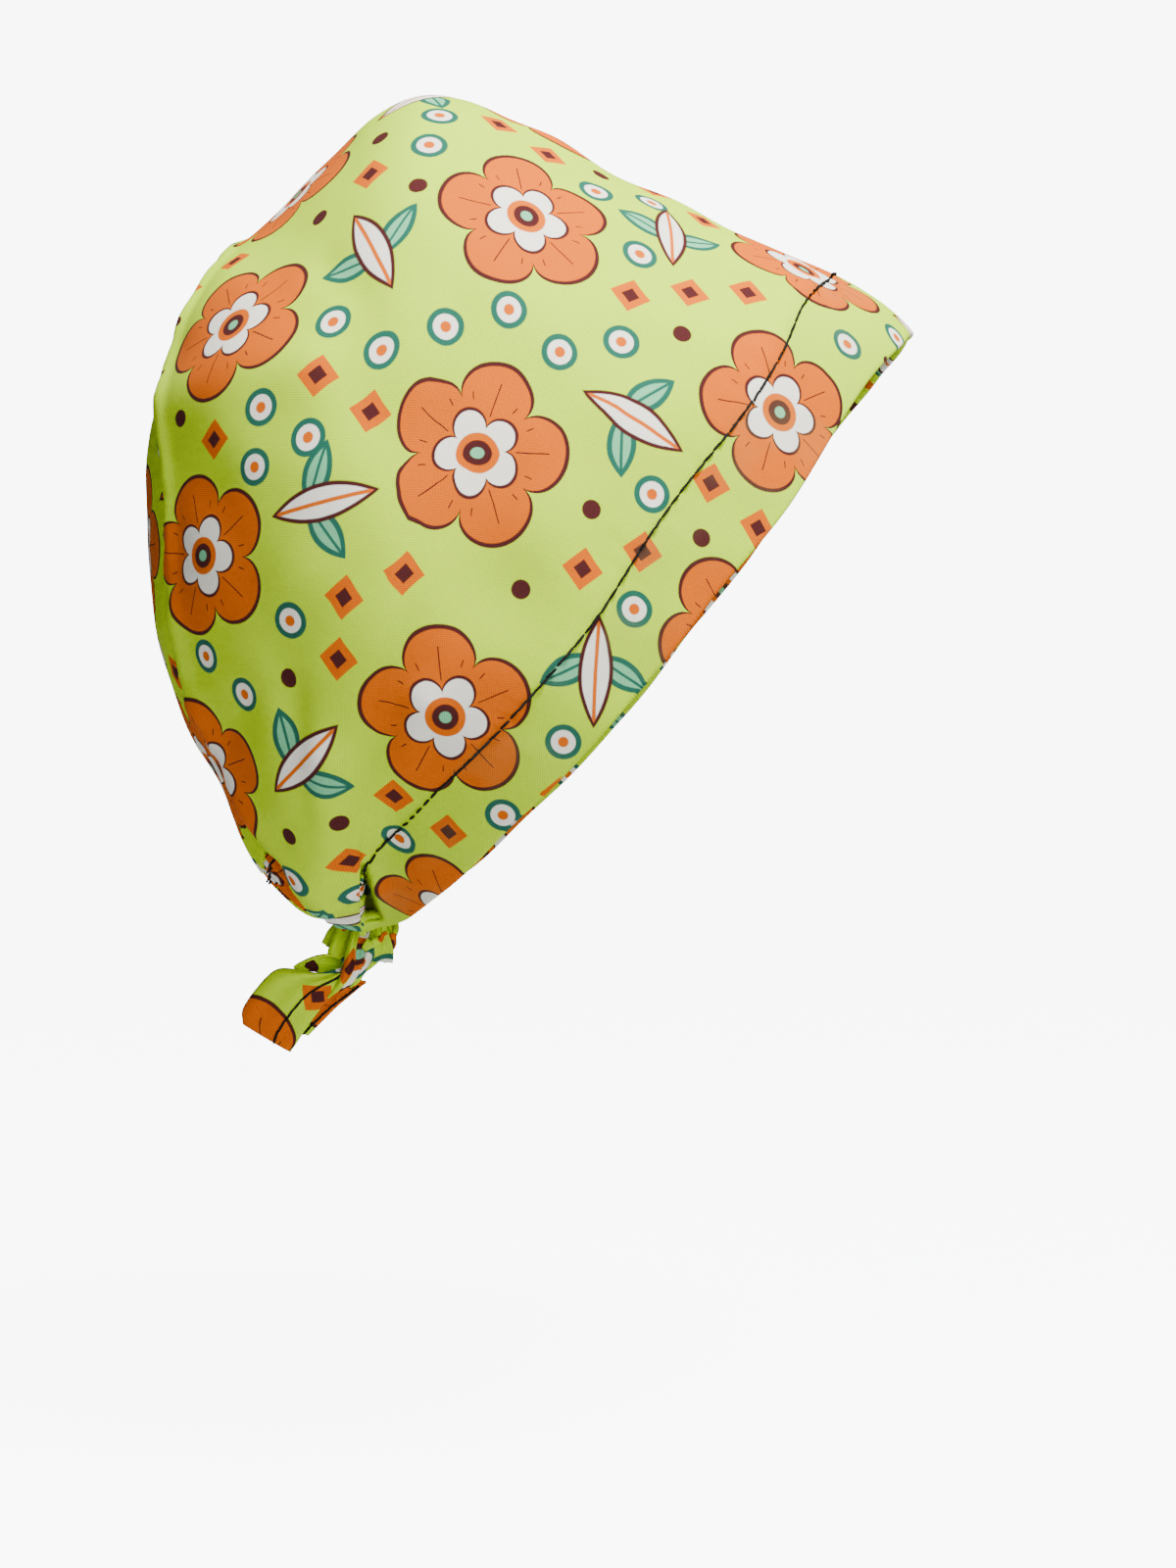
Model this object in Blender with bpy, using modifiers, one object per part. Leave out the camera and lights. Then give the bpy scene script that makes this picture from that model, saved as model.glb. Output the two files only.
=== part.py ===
"""A tie-back scrub cap, held in the shape it takes on a head.

Metres, +X to the forehead, +Z up, the wearer's right side towards -Y. The origin is the
middle of the head hollow. Run with: blender --background --python part.py
"""

import bmesh
import bpy
import numpy as np

# Driving sizes of the cap
crown_radius = 0.100  # what the outline's reaches are shares of
half_width = 0.080  # from the middle to the fullest part of one side
side_fullness = 0.85  # below 1 the sides are flatter than an ellipse
side_centre_back = 0.0198  # the fullest point of a side, behind the origin
side_centre_up = 0.0099  # and above it
cloth = 0.0012  # wall of the outer panels
hem_cloth = 0.0010  # wall of the turned-up hem layer
hem_depth = 0.017  # how far the hem is turned up
casing_cloth = 0.0012  # wall of the gathered casing, two layers of cloth
seam_step = 0.0012  # how far the side panels stand over the back panel
seam_lap = 0.0040  # how far the back panel's edge lies under the side panels
seam_valley = 0.0080  # how wide the back panel dips beside the seam
clearance = 0.0005  # between neighbouring pieces

# Sizes of folds and gathers
seam_roll_height = 0.0011
seam_roll_width = 0.0035
fold_height = 0.0060
gather_height = 0.0013
gather_count = 9

# Sizes of the ties
tie_width = 0.0155
tie_cloth = 0.0012
knot_radius = 0.0060
knot_back = 0.0365  # the knot's middle, behind the origin
knot_down = 0.0843  # and below it
knot_aside = 0.0025  # towards the wearer's right side

# The cap seen from the side, as reaches from the side's centre at angles from the front.
# Between 262 and 382 degrees it is open, and the rows there only set how wide the hem is.
OUTLINE = (
    # angle, reach as a share of crown_radius
    (8, 1.165),
    (24, 1.125),
    (33, 1.020),
    (44, 0.919),
    (54, 0.885),
    (64, 0.866),
    (72, 0.884),
    (79, 0.896),
    (86, 0.927),
    (92, 0.935),
    (98, 0.905),
    (106, 0.838),
    (116, 0.776),
    (124, 0.752),
    (131, 0.752),
    (140, 0.735),
    (150, 0.708),
    (162, 0.682),
    (176, 0.656),
    (188, 0.655),
    (200, 0.675),
    (212, 0.702),
    (222, 0.735),
    (230, 0.762),
    (238, 0.832),
    (246, 0.897),
    (252, 0.926),
    (258, 0.905),
    (264, 0.895),
    (270, 0.935),
    (278, 1.010),
    (290, 1.100),
    (320, 1.230),
    (345, 1.220),
)

# Edges of one side. The angle goes round the side's centre from the front, and the turn is
# how far towards the wearer's side the point lies, from 0 in the middle plane to 90.
HEM = (
    # share of the way from the nape to the forehead, angle, turn
    (0.000, 262.0, 5.5),
    (0.125, 271.3, 32.5),
    (0.250, 285.8, 51.3),
    (0.375, 311.0, 61.2),
    (0.500, 340.0, 60.5),
    (0.625, 361.0, 51.0),
    (0.750, 375.3, 36.8),
    (0.875, 380.9, 18.7),
    (1.000, 382.5, 0.0),
)
SEAM = (
    # share of the way from the nape to the crown, angle, turn
    (0.000, 257.5, 8.0),
    (0.125, 249.0, 27.0),
    (0.250, 236.0, 26.0),
    (0.375, 219.0, 27.0),
    (0.500, 199.0, 32.0),
    (0.625, 173.0, 33.0),
    (0.750, 149.5, 27.5),
    (0.875, 133.0, 20.5),
    (1.000, 126.5, 0.0),
)
CASING_ANGLE = 243.0  # the casing's stitching, round the side's centre
CASING_END_ANGLE = 256.5  # its lower edge
CASING_END_WIDTH = 0.90  # of the room between the side panels
ARCH_CORNER = 0.80  # where the back panel's top rounds into its sides, along the seam

# How the panels are divided into rows and columns
FRONT_COLUMNS = 56
FRONT_ROWS = 20
HEM_ROWS = 3
SEAM_ROWS = 2
HEM_SHARE = HEM_ROWS / FRONT_ROWS
SEAM_SHARE = SEAM_ROWS / FRONT_ROWS
BACK_COLUMNS = 36
BACK_ROWS = 16
CASING_ROWS = 5
MOST_HEM = 0.80  # of the panel's length, where it is short at the nape
MOST_SEAM = 0.10
LENGTH_PLACES = 81

# Soft folds of each side panel, with their ends as places in the side view
FOLDS = (
    # forward 1, up 1, forward 2, up 2 and half width as shares of crown_radius; height as a
    # share of fold_height, hollows below 0
    (-0.39, -0.46, -0.37, -0.72, 0.055, 0.55),
    (-0.29, -0.42, -0.31, -0.62, 0.065, -0.32),
    (-0.20, -0.32, -0.33, -0.57, 0.045, 0.20),
    (-0.21, 0.22, -0.06, -0.09, 0.110, -0.28),
    (0.05, -0.01, 0.21, 0.15, 0.090, 0.14),
    (-0.72, 0.33, -0.43, 0.37, 0.080, 0.25),
    (-0.40, 0.57, -0.33, 0.51, 0.040, -0.15),
)

# The ties' strips, from one end to the other. Places are from the knot's middle, and the
# across columns are half of the strip's width, all as shares of tie_width.
TIES = {
    "tie_right": (
        # forward, side, up, across forward, across side, across up, bow
        (0.22, -0.62, 0.22, 0.16, 0.02, 0.08, 0.04),
        (0.15, -0.50, 0.16, 0.15, 0.02, 0.09, 0.06),
        (0.08, -0.38, 0.10, 0.12, 0.02, 0.10, 0.04),
    ),
    "tie_left": (
        (0.30, 0.82, 0.32, -0.06, 0.00, -0.22, 0.03),
        (0.34, 0.52, 0.10, -0.07, 0.00, -0.26, 0.04),
        (0.31, 0.22, 0.00, -0.06, 0.04, -0.22, 0.04),
    ),
    "knot_loop": (
        (-0.30, 0.06, 0.37, 0.09, 0.00, -0.07, 0.03),
        (-0.43, 0.06, 0.20, 0.11, 0.03, -0.09, 0.05),
        (-0.55, 0.03, 0.03, 0.09, 0.04, -0.07, 0.05),
    ),
    "tail_right": (
        (-0.20, -0.26, -0.29, 0.12, 0.00, -0.04, 0.02),
        (-0.46, -0.40, -0.37, 0.18, 0.04, -0.07, 0.06),
        (-0.72, -0.47, -0.43, 0.26, 0.05, -0.19, 0.10),
        (-0.93, -0.49, -0.54, 0.32, 0.05, -0.28, 0.09),
        (-1.15, -0.49, -0.79, 0.36, 0.03, -0.28, 0.06),
        (-1.33, -0.46, -1.06, 0.39, 0.00, -0.24, 0.03),
        (-1.38, -0.45, -1.24, 0.34, 0.00, -0.20, 0.02),
    ),
    "tail_left": (
        (-0.11, -0.07, -0.41, 0.13, 0.00, -0.06, 0.02),
        (-0.38, -0.14, -0.55, 0.18, 0.02, -0.10, 0.06),
        (-0.71, -0.20, -0.69, 0.30, 0.02, -0.14, 0.06),
        (-0.95, -0.22, -0.87, 0.34, 0.00, -0.16, 0.03),
        (-1.15, -0.22, -1.05, 0.34, 0.00, -0.18, 0.02),
    ),
}
KNOT_GROOVES = 3
KNOT_GROOVE_DEPTH = 0.12  # as a share of knot_radius
KNOT_STRETCH = (0.77, 1.00, 1.07)  # forward, side and up


def smooth(rows, places, column=1, period=None):
    """A smooth curve through one column of a table whose first column is where each row is."""
    at = np.array([row[0] for row in rows], float)
    values = np.array([row[column] for row in rows], float)
    places = np.asarray(places, float)
    if period:
        at = np.concatenate([at[-2:] - period, at, at[:2] + period])
        values = np.concatenate([values[-2:], values, values[:2]])
        places = (places - at[2]) % period + at[2]
    steps = np.diff(at)
    slopes = np.diff(values) / steps
    tangents = np.concatenate([slopes[:1], slopes[:1], slopes[1:]])
    tangents[1:-1] = (slopes[:-1] * steps[1:] + slopes[1:] * steps[:-1]) / (steps[1:] + steps[:-1])
    row = np.clip(np.searchsorted(at, places, side="right") - 1, 0, len(at) - 2)
    share = (places - at[row]) / steps[row]
    rest = 1 - share
    return (
        (1 + 2 * share) * rest**2 * values[row]
        + share * rest**2 * steps[row] * tangents[row]
        + share**2 * (3 - 2 * share) * values[row + 1]
        - share**2 * rest * steps[row] * tangents[row + 1]
    )


def dome(angle, turn):
    """A point of the cap's outer form, with a negative turn on the wearer's left side."""
    reach = crown_radius * smooth(OUTLINE, angle % 360, period=360) * np.cos(np.radians(turn))
    aside = half_width * np.sign(turn) * np.abs(np.sin(np.radians(turn))) ** side_fullness
    return np.stack(
        [
            reach * np.cos(np.radians(angle)) - side_centre_back,
            -aside,
            reach * np.sin(np.radians(angle)) + side_centre_up,
        ],
        axis=-1,
    )


def to_disc(angle, turn):
    """The side flattened to a round disc, its centre at the fullest point of the side."""
    out = 1 - turn / 90
    return np.stack([out * np.cos(np.radians(angle)), out * np.sin(np.radians(angle))], axis=-1)


def from_disc(point):
    out = np.hypot(point[..., 0], point[..., 1])
    return np.degrees(np.arctan2(point[..., 1], point[..., 0])), 90 * (1 - out)


def hem_edge(along):
    return to_disc(smooth(HEM, along, 1), smooth(HEM, along, 2))


def seam_edge(along):
    return to_disc(smooth(SEAM, along, 1), smooth(SEAM, along, 2))


def middle_line(up):
    """The panel's middle, from the forehead over the top of the head to the seam."""
    angle = HEM[-1][1] - 360 + up * (SEAM[-1][1] - HEM[-1][1] + 360)
    return to_disc(angle, np.zeros_like(angle))


def patch(along, up, low, high, start, end):
    """A sheet stretched between four edges."""
    a = along[..., None]
    b = up[..., None]
    corner = np.zeros_like(along)
    side = corner + 1
    blend = (1 - b) * low(along) + b * high(along) + (1 - a) * start(up) + a * end(up)
    low_corners = (1 - a) * low(corner) + a * low(side)
    high_corners = (1 - a) * high(corner) + a * high(side)
    return blend - (1 - b) * low_corners - b * high_corners


def nape_edge(up):
    low = hem_edge(np.zeros_like(up))
    high = seam_edge(np.zeros_like(up))
    return low + up[..., None] * (high - low)


def front_form(around, up):
    """The front panel's form: around runs from one end of the nape to the other."""
    along = 1 - np.abs(2 * around - 1)
    angle, turn = from_disc(patch(along, up, hem_edge, seam_edge, nape_edge, middle_line))
    return dome(angle, np.where(around <= 0.5, turn, -turn))


def normals(form, around, up, step=0.002):
    """The form's outward normals, from short steps each way."""
    right = form(np.clip(around + step, 0, 1), up) - form(np.clip(around - step, 0, 1), up)
    rise = form(around, np.clip(up + step, 0, 1)) - form(around, np.clip(up - step, 0, 1))
    normal = np.cross(right, rise)
    return normal / np.maximum(np.linalg.norm(normal, axis=-1, keepdims=True), 1e-12)


def fold_relief(points):
    """How far the folds lift a side panel at points of its form."""
    relief = np.zeros(points.shape[:-1])
    place = points[..., ::2] / crown_radius
    for forward_1, up_1, forward_2, up_2, half, height in FOLDS:
        start = np.array([forward_1, up_1])
        run = np.array([forward_2, up_2]) - start
        share = np.clip((place - start) @ run / (run @ run), 0, 1)
        off = np.linalg.norm(place - start - share[..., None] * run, axis=-1)
        relief += fold_height * height * np.exp(-((off / half) ** 2))
    return relief


def panel_lengths():
    """How long the front panel is from hem to seam, at even places around it."""
    places = np.linspace(0, 1, LENGTH_PLACES)
    around, up = np.meshgrid(places, np.linspace(0, 1, LENGTH_PLACES), indexing="ij")
    steps = np.diff(front_form(around, up), axis=1)
    return places, np.linalg.norm(steps, axis=-1).sum(axis=1)


def front_height(around, row):
    """How far up the panel a row lies: the first rows fill the hem, the last ones the roll."""
    length = np.interp(around, *PANEL_LENGTHS)
    hem = np.minimum(hem_depth / length, MOST_HEM)
    seam = 1 - np.minimum(2 * seam_roll_width / length, MOST_SEAM)
    above = (row - HEM_SHARE) / (1 - HEM_SHARE - SEAM_SHARE)
    last = (row - 1 + SEAM_SHARE) / SEAM_SHARE
    height = np.where(row < HEM_SHARE, hem * row / HEM_SHARE, hem + (seam - hem) * above)
    return np.where(last > 0, seam + (1 - seam) * last, height)


def front_surface(around, row):
    up = front_height(around, row)
    form = front_form(around, up)
    from_seam = (1 - up) * np.interp(around, *PANEL_LENGTHS)
    roll = seam_roll_height * np.exp(-((from_seam / seam_roll_width - 1) ** 2))
    lift = fold_relief(form) + roll
    return form + normals(front_form, around, up) * lift[..., None]


def hem_layer_surface(around, row):
    """The hem's turned-up layer, inside the panel's first rows."""
    row = row * HEM_SHARE
    inward = cloth + 1.5 * clearance
    return front_surface(around, row) - normals(front_surface, around, row) * inward


def back_seam(side):
    """The back panel's edge, going up one side from the casing."""

    def edge(up):
        share = CASING_SHARE + up * (ARCH_CORNER - CASING_SHARE)
        return np.stack([smooth(SEAM, share, 1), side * smooth(SEAM, share, 2)], axis=-1)

    return edge


def back_arch(across):
    share = ARCH_CORNER + (1 - ARCH_CORNER) * (1 - np.abs(2 * across - 1))
    turn = smooth(SEAM, share, 2) * np.sign(across - 0.5)
    return np.stack([smooth(SEAM, share, 1), turn], axis=-1)


def casing_line(across):
    turn = smooth(SEAM, CASING_SHARE, 2) * (2 * across - 1)
    return np.stack([np.full_like(across, CASING_ANGLE), turn], axis=-1)


def lapped(place, low_angle):
    """Places on the back panel spread out past the seam, and not past its lower edge."""
    angle, turn = place[..., 0], place[..., 1]
    lap = np.degrees(seam_lap / half_width)
    crown_angle = SEAM[-1][1]
    rise = np.clip((low_angle - angle) / (low_angle - crown_angle), 0, 1)
    return angle - lap * rise**2, turn * (1 + lap / SEAM_TURN)


def back_form(across, up):
    place = patch(across, up, casing_line, back_arch, back_seam(-1), back_seam(1))
    return dome(*lapped(place, CASING_ANGLE))


def valley(across, up):
    """How deep the back lies: wholly under the side panels' edges, and level past the valley."""
    from_side = np.minimum(across, 1 - across) * 2 * half_width * np.sin(np.radians(SEAM_TURN))
    from_top = (1 - up) * crown_radius * np.radians(CASING_ANGLE - SEAM[-1][1])
    share = np.clip((np.minimum(from_side, from_top) - 1.5 * seam_lap) / seam_valley, 0, 1)
    dip = cloth + 2 * clearance - seam_step
    return seam_step + dip * (1 - share**2 * (3 - 2 * share))


def back_surface(across, up):
    gathers = np.sin(2 * np.pi * gather_count * across) - 1
    lift = gather_height * gathers * (1 - up) ** 8 / 2 - valley(across, up)
    return back_form(across, up) + normals(back_form, across, up) * lift[..., None]


def casing_form(across, up):
    """The casing, from its lower edge up to just under the back panel's lower edge."""
    gap = np.degrees(3 * clearance / crown_radius)
    angle = CASING_END_ANGLE + up * (CASING_ANGLE + gap - CASING_END_ANGLE)
    turn = smooth(SEAM, np.interp(angle, SEAM_ANGLES, SEAM_PLACES), 2)
    turn = turn * (CASING_END_WIDTH + up * (1 - CASING_END_WIDTH))
    return dome(*lapped(np.stack([angle, turn * (2 * across - 1)], axis=-1), CASING_ANGLE))


def casing_surface(across, up):
    gathers = np.sin(2 * np.pi * gather_count * across) - 1
    lift = gather_height * gathers * (0.5 + 0.5 * (1 - up)) - valley(across, 0 * up)
    return casing_form(across, up) + normals(casing_form, across, up) * lift[..., None]


def knot_middle():
    return np.array([-knot_back, -knot_aside, -knot_down])


def tie_surface(rows):
    """A folded tie, its section bowed across and turning along its length."""
    table = [(index / (len(rows) - 1), *row) for index, row in enumerate(rows)]

    def surface(along, across):
        columns = [smooth(table, along, column) * tie_width for column in range(1, 8)]
        middle = np.stack(columns[0:3], axis=-1)
        reach = np.stack(columns[3:6], axis=-1)
        ahead = np.gradient(middle, axis=1)
        normal = np.cross(ahead, reach)
        normal /= np.maximum(np.linalg.norm(normal, axis=-1, keepdims=True), 1e-12)
        side = 2 * across - 1
        bow = columns[6] * (1 - side**2)
        return knot_middle() + middle + side[..., None] * reach + bow[..., None] * normal

    return surface


def finish(name, mesh, colour, roughness):
    """Gives a mesh its object, its material and its place in the cap's collection."""
    item = bpy.data.objects.new(name, mesh)
    cap.objects.link(item)
    material = bpy.data.materials.new(name)
    material.use_nodes = True
    shader = material.node_tree.nodes["Principled BSDF"]
    shader.inputs["Base Color"].default_value = (*colour, 1)
    shader.inputs["Roughness"].default_value = roughness
    shader.inputs["Metallic"].default_value = 0
    mesh.materials.append(material)
    return item


def sheet(name, surface, columns, rows, wall, colour):
    """A sheet of cloth: a flat grid moved to its surface, with a wall grown inwards."""
    shell = bmesh.new()
    bmesh.ops.create_grid(shell, x_segments=columns, y_segments=rows, size=0.5)
    flat = np.array([vert.co for vert in shell.verts])[:, :2] + 0.5
    flat = flat.reshape(rows + 1, columns + 1, 2)
    for vert, point in zip(shell.verts, surface(flat[..., 0], flat[..., 1]).reshape(-1, 3)):
        vert.co = point
    mesh = bpy.data.meshes.new(name)
    shell.to_mesh(mesh)
    shell.free()
    mesh.shade_smooth()
    item = finish(name, mesh, colour, 0.85)
    solid = item.modifiers.new("wall", "SOLIDIFY")
    solid.thickness = wall
    solid.offset = -1
    return item


def knot(name, colour):
    """The knot: a ball of wound cloth with grooves between its turns."""
    ball = bmesh.new()
    bmesh.ops.create_uvsphere(ball, u_segments=18, v_segments=10, radius=1)
    for vert in ball.verts:
        turn = np.arctan2(vert.co.z, vert.co.x)
        groove = np.cos(turn * KNOT_GROOVES + 2 * vert.co.y) * (1 - vert.co.y**2)
        reach = knot_radius * (1 - KNOT_GROOVE_DEPTH + KNOT_GROOVE_DEPTH * groove)
        vert.co = knot_middle() + np.array(vert.co) * KNOT_STRETCH * reach
    mesh = bpy.data.meshes.new(name)
    ball.to_mesh(mesh)
    ball.free()
    mesh.shade_smooth()
    return finish(name, mesh, colour, 0.85)


for old in list(bpy.data.objects):
    bpy.data.objects.remove(old)
cap = bpy.data.collections.new("scrub_cap")
bpy.context.scene.collection.children.link(cap)

PANEL_LENGTHS = panel_lengths()
SEAM_PLACES = np.linspace(1, 0, 401)
SEAM_ANGLES = smooth(SEAM, SEAM_PLACES, 1)
CASING_SHARE = np.interp(CASING_ANGLE, SEAM_ANGLES, SEAM_PLACES)
SEAM_TURN = max(row[2] for row in SEAM)
lime = (0.56, 0.70, 0.13)
sheet("front_panel", front_surface, FRONT_COLUMNS, FRONT_ROWS, cloth, lime)
sheet("hem_layer", hem_layer_surface, FRONT_COLUMNS, HEM_ROWS, hem_cloth, lime)
sheet("back_panel", back_surface, BACK_COLUMNS, BACK_ROWS, cloth, lime)
sheet("nape_casing", casing_surface, BACK_COLUMNS, CASING_ROWS, casing_cloth, lime)
for name, rows in TIES.items():
    sheet(name, tie_surface(rows), 8, 4, tie_cloth, lime)
knot("tie_knot", lime)
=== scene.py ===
# %% [markdown]
# # A tie-back scrub cap
# A scrub cap is a shallow bag of thin cotton. One wide band of cloth goes over the forehead,
# the top and both sides. A smaller panel closes the back, a hem is turned up round the face,
# and two ties come out of the hem and are knotted under the nape. Every piece is cloth, so every
# piece here is a thin grid that is laid on a form, and not a block that is carved.

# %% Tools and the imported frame
import math

import bmesh
import bpy
import numpy as np
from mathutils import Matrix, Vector, noise


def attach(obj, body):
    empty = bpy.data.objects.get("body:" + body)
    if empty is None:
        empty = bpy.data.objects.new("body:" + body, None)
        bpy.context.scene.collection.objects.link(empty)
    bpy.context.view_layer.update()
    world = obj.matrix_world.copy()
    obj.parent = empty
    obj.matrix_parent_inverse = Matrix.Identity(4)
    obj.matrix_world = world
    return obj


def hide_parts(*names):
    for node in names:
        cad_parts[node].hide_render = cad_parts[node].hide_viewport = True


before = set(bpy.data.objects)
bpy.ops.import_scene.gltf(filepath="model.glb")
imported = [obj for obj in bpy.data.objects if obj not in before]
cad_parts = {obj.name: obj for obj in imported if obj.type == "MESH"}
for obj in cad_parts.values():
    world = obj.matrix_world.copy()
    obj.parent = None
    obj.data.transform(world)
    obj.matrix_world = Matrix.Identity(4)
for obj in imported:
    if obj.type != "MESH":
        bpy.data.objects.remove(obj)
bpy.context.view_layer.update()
bpy.ops.object.select_all(action="DESELECT")
print("nodes:", ", ".join(sorted(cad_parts)))

# %% [markdown]
# ## The form that the cloth is laid on
# The cap could be sculpted, but its outline from the side is what people know it by. So its form
# is a dome: a closed outline in the middle plane, pulled out to each side. A point on it has an
# angle, round the fullest point of a side, and a turn, from the middle plane to that point.

# %% Sizes of the cap
crown_radius = 0.100
half_width = 0.080
side_fullness = 0.85
side_centre_back = 0.0198
side_centre_up = 0.0099
hem_depth = 0.017
hem_fold_radius = 0.0008
seam_edge_radius = 0.0013
seam_roll_height = 0.0013
seam_roll_width = 0.0034
seam_step = 0.0012
seam_lap = 0.0040
seam_valley = 0.0080
fold_height = 0.0060
gather_height = 0.0013
gather_count = 18
panel_wall = 0.0007

OUTLINE = (
    # angle, reach as a share of crown_radius
    (8, 1.165),
    (24, 1.125),
    (33, 1.020),
    (44, 0.919),
    (54, 0.885),
    (64, 0.866),
    (72, 0.884),
    (79, 0.896),
    (86, 0.927),
    (92, 0.935),
    (98, 0.905),
    (106, 0.838),
    (116, 0.776),
    (124, 0.752),
    (131, 0.752),
    (140, 0.735),
    (150, 0.708),
    (162, 0.682),
    (176, 0.656),
    (188, 0.655),
    (200, 0.675),
    (212, 0.702),
    (222, 0.735),
    (230, 0.762),
    (238, 0.832),
    (246, 0.897),
    (252, 0.926),
    (258, 0.905),
    (264, 0.895),
    (270, 0.935),
    (278, 1.010),
    (290, 1.100),
    (320, 1.230),
    (345, 1.220),
)
HEM = (
    # share of the way from the nape to the forehead, angle, turn
    (0.000, 262.0, 5.5),
    (0.125, 271.3, 32.5),
    (0.250, 285.8, 51.3),
    (0.375, 311.0, 61.2),
    (0.500, 340.0, 60.5),
    (0.625, 361.0, 51.0),
    (0.750, 375.3, 36.8),
    (0.875, 380.9, 18.7),
    (1.000, 382.5, 0.0),
)
SEAM = (
    # share of the way from the nape to the crown, angle, turn
    (0.000, 257.5, 8.0),
    (0.125, 249.0, 27.0),
    (0.250, 236.0, 26.0),
    (0.375, 219.0, 27.0),
    (0.500, 199.0, 32.0),
    (0.625, 173.0, 33.0),
    (0.750, 149.5, 27.5),
    (0.875, 133.0, 20.5),
    (1.000, 126.5, 0.0),
)
CASING_ANGLE = 243.0
CASING_END_ANGLE = 256.5
CASING_END_WIDTH = 0.90
ARCH_CORNER = 0.80
MOST_HEM = 0.80
LENGTH_PLACES = 81
DIRECTION_STEP = 0.002


# %% Smooth curves through the tables
def smooth(rows, places, column=1, period=None):
    """A smooth curve through one column of a table whose first column is where each row is."""
    at = np.array([row[0] for row in rows], float)
    values = np.array([row[column] for row in rows], float)
    places = np.asarray(places, float)
    if period:
        at = np.concatenate([at[-2:] - period, at, at[:2] + period])
        values = np.concatenate([values[-2:], values, values[:2]])
        places = (places - at[2]) % period + at[2]
    steps = np.diff(at)
    slopes = np.diff(values) / steps
    tangents = np.concatenate([slopes[:1], slopes[:1], slopes[1:]])
    tangents[1:-1] = (slopes[:-1] * steps[1:] + slopes[1:] * steps[:-1]) / (steps[1:] + steps[:-1])
    row = np.clip(np.searchsorted(at, places, side="right") - 1, 0, len(at) - 2)
    share = (places - at[row]) / steps[row]
    rest = 1 - share
    return (
        (1 + 2 * share) * rest**2 * values[row]
        + share * rest**2 * steps[row] * tangents[row]
        + share**2 * (3 - 2 * share) * values[row + 1]
        - share**2 * rest * steps[row] * tangents[row + 1]
    )


# %% The dome
def dome(angle, turn):
    """A point of the form, with a negative turn on the wearer's left side."""
    reach = crown_radius * smooth(OUTLINE, angle % 360, period=360) * np.cos(np.radians(turn))
    aside = half_width * np.sign(turn) * np.abs(np.sin(np.radians(turn))) ** side_fullness
    ahead = reach * np.cos(np.radians(angle)) - side_centre_back
    up = reach * np.sin(np.radians(angle)) + side_centre_up
    return np.stack([ahead, -aside, up], axis=-1)


def to_disc(angle, turn):
    out = 1 - turn / 90
    return np.stack([out * np.cos(np.radians(angle)), out * np.sin(np.radians(angle))], axis=-1)


def from_disc(point):
    out = np.hypot(point[..., 0], point[..., 1])
    return np.degrees(np.arctan2(point[..., 1], point[..., 0])), 90 * (1 - out)


# %% [markdown]
# ## Laying a panel between its edges
# A cloth panel is known by its four edges. A Coons patch stretches a sheet between them, so the
# rows of the grid run along the hem as the threads do. A subdivided cage would also work, but its
# edges would drift away from the seams.

# %% The front panel's form
def patch(along, up, low, high, start, end):
    """A sheet stretched between four edges."""
    a = along[..., None]
    b = up[..., None]
    corner = np.zeros_like(along)
    side = corner + 1
    blend = (1 - b) * low(along) + b * high(along) + (1 - a) * start(up) + a * end(up)
    low_corners = (1 - a) * low(corner) + a * low(side)
    high_corners = (1 - a) * high(corner) + a * high(side)
    return blend - (1 - b) * low_corners - b * high_corners


def hem_edge(along):
    return to_disc(smooth(HEM, along, 1), smooth(HEM, along, 2))


def seam_edge(along):
    return to_disc(smooth(SEAM, along, 1), smooth(SEAM, along, 2))


def middle_line(up):
    angle = HEM[-1][1] - 360 + up * (SEAM[-1][1] - HEM[-1][1] + 360)
    return to_disc(angle, np.zeros_like(angle))


def nape_edge(up):
    low = hem_edge(np.zeros_like(up))
    high = seam_edge(np.zeros_like(up))
    return low + up[..., None] * (high - low)


def front_form(around, up):
    """Around runs from the nape's near side over the forehead to its far side."""
    along = 1 - np.abs(2 * around - 1)
    angle, turn = from_disc(patch(along, up, hem_edge, seam_edge, nape_edge, middle_line))
    return dome(angle, np.where(around <= 0.5, turn, -turn))


def unit(vectors):
    """Vectors made one unit long."""
    return vectors / np.maximum(np.linalg.norm(vectors, axis=-1, keepdims=True), 1e-12)


def directions(form, around, up, step=DIRECTION_STEP):
    """The outward normals of a form, and the way up along it, both one unit long."""
    right = form(np.clip(around + step, 0, 1), up) - form(np.clip(around - step, 0, 1), up)
    rise = form(around, np.clip(up + step, 0, 1)) - form(around, np.clip(up - step, 0, 1))
    return unit(np.cross(right, rise)), unit(rise)


def panel_lengths():
    places = np.linspace(0, 1, LENGTH_PLACES)
    around, up = np.meshgrid(places, np.linspace(0, 1, LENGTH_PLACES), indexing="ij")
    steps = np.diff(front_form(around, up), axis=1)
    return places, np.linalg.norm(steps, axis=-1).sum(axis=1)


PANEL_LENGTHS = panel_lengths()
print("front panel from hem to seam, longest: %.0f mm" % (PANEL_LENGTHS[1].max() * 1000))

# %% [markdown]
# ## Folds
# Worn cotton is never smooth. The large folds are few and each has its place, so they are rows of
# a table: a line in the side view, a width and a height. The small unevenness of the cloth has no
# place of its own, so it comes from soft noise.

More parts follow.
